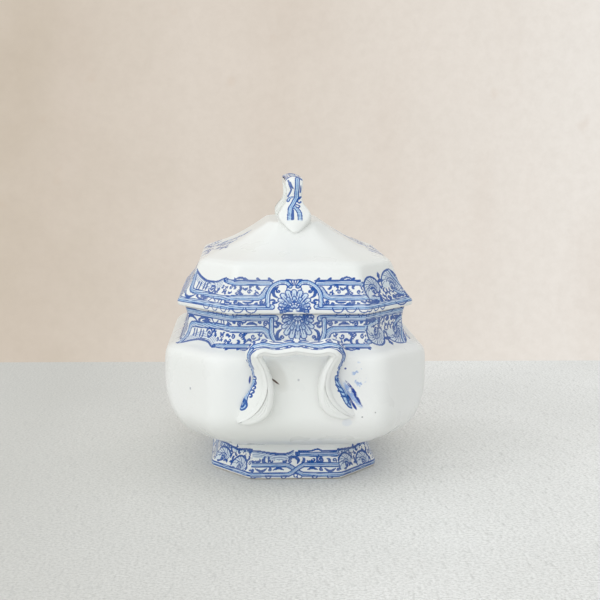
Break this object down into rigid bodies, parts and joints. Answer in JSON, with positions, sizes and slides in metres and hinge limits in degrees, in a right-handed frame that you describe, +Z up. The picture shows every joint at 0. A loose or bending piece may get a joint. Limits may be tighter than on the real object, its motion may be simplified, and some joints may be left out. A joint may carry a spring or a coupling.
{
  "type": "soup tureen",
  "caption": "Footed soup tureen on a long octagon plan, with bracket handles at its ends and a lift-off lid with a loop finial, printed in blue on white.",
  "frame": {"origin": "middle of the foot, on the surface that the tureen stands on", "axes": "+Z up, Y along the tureen from handle to handle, X across it; -Y is the end that faces the viewer"},
  "size_m": [0.218, 0.356, 0.252],
  "materials": {
    "glazed_white": "gloss clear glaze over off-white ironstone, with a blue underglaze print on the collar and the lid's side",
    "printed_blue": "gloss clear glaze over off-white ironstone with a blue underglaze print"
  },
  "bodies": {
    "tureen": {"bowl": "glazed_white", "foot": "printed_blue", "handle_front": "printed_blue", "handle_rear": "printed_blue"},
    "cover": {"lid": "glazed_white", "lid_flange": "glazed_white", "finial": "printed_blue"}
  },
  "joints": [
    {"name": "lid_lift", "type": "slide", "parent": "tureen", "child": "cover", "axis": [0, 0, 1], "range_m": [0, 0.13]}
  ]
}
